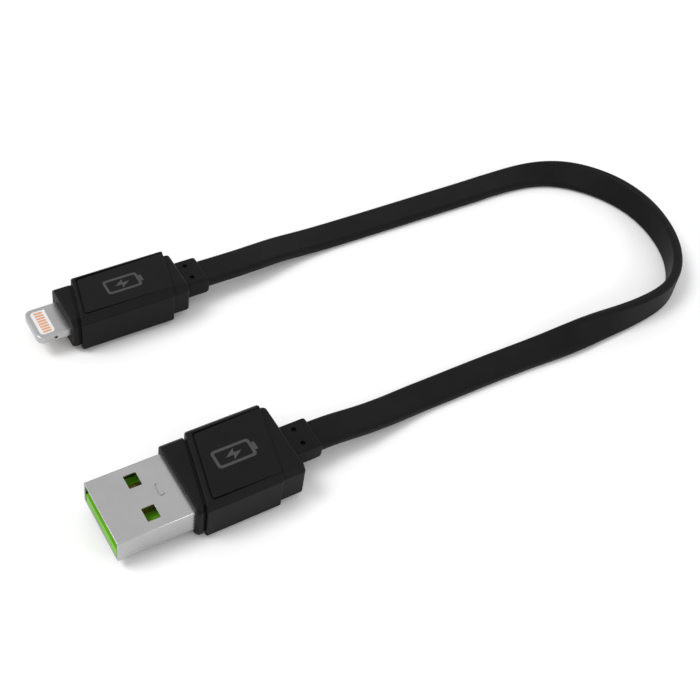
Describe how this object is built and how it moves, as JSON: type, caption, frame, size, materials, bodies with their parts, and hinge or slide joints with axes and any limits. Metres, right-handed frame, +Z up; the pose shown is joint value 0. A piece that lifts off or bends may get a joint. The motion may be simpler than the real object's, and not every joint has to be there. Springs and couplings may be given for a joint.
{
  "type": "charging cable",
  "caption": "Short flat charging cable with a USB-A plug and a small reversible phone plug, lying in one U-shaped bend that turns the ribbon over.",
  "frame": {"origin": "on the floor, under the middle of the USB plug from its shell's mouth to its strain relief's mouth", "axes": "+X from the USB plug's mouth towards its cable, +Y across towards the phone plug, +Z up from the floor"},
  "size_m": [0.1251, 0.0517, 0.0078],
  "materials": {
    "plug_steel": "satin nickel-plated steel",
    "green_plastic": "satin moulded plastic",
    "contact_gold": "gold-plated, polished",
    "solder": "bright",
    "inner_plastic": "translucent inner moulding",
    "black_plastic": "fine matte",
    "black_panel": "fine matte",
    "grey_mark": "printed satin",
    "black_rubber": "soft matte",
    "black_jacket": "soft matte",
    "wire_red": "satin",
    "wire_white": "satin",
    "wire_green": "satin",
    "wire_black": "satin",
    "copper": "bare copper",
    "tab_metal": "satin nickel-plated",
    "white_plastic": "satin moulded plastic",
    "contact_copper": "gold-plated, polished",
    "board_green": "circuit board",
    "chip_black": "matte",
    "can_metal": "tin-plated steel"
  },
  "bodies": {
    "root": {"usb_shell": "plug_steel", "usb_insulator": "green_plastic", "usb_contact_1": "contact_gold", "usb_contact_2": "contact_gold", "usb_contact_3": "contact_gold", "usb_contact_4": "contact_gold", "usb_solder_joints": "solder", "usb_inner_mould": "inner_plastic", "usb_body": "black_plastic", "usb_grip": "black_plastic", "usb_panel_top": "black_panel", "usb_panel_bottom": "black_panel", "usb_mark": "grey_mark", "usb_strain_relief": "black_rubber", "cable_jacket": "black_jacket", "wire_1": "wire_red", "wire_2": "wire_white", "wire_3": "wire_green", "wire_4": "wire_black", "conductor_1": "copper", "conductor_2": "copper", "conductor_3": "copper", "conductor_4": "copper", "phone_tab_frame": "tab_metal", "phone_insulator": "white_plastic", "phone_contact_top_1": "contact_copper", "phone_contact_top_2": "contact_copper", "phone_contact_top_3": "contact_copper", "phone_contact_top_4": "contact_copper", "phone_contact_top_5": "contact_copper", "phone_contact_top_6": "contact_copper", "phone_contact_top_7": "contact_copper", "phone_contact_top_8": "contact_copper", "phone_contact_bottom_1": "contact_copper", "phone_contact_bottom_2": "contact_copper", "phone_contact_bottom_3": "contact_copper", "phone_contact_bottom_4": "contact_copper", "phone_contact_bottom_5": "contact_copper", "phone_contact_bottom_6": "contact_copper", "phone_contact_bottom_7": "contact_copper", "phone_contact_bottom_8": "contact_copper", "phone_circuit_board": "board_green", "phone_charge_chip": "chip_black", "phone_shield_upper": "can_metal", "phone_shield_lower": "can_metal", "phone_solder_joints": "solder", "phone_inner_mould": "inner_plastic", "phone_body": "black_plastic", "phone_grip": "black_plastic", "phone_panel_top": "black_panel", "phone_panel_bottom": "black_panel", "phone_mark": "grey_mark", "phone_strain_relief": "black_rubber"}
  },
  "joints": []
}
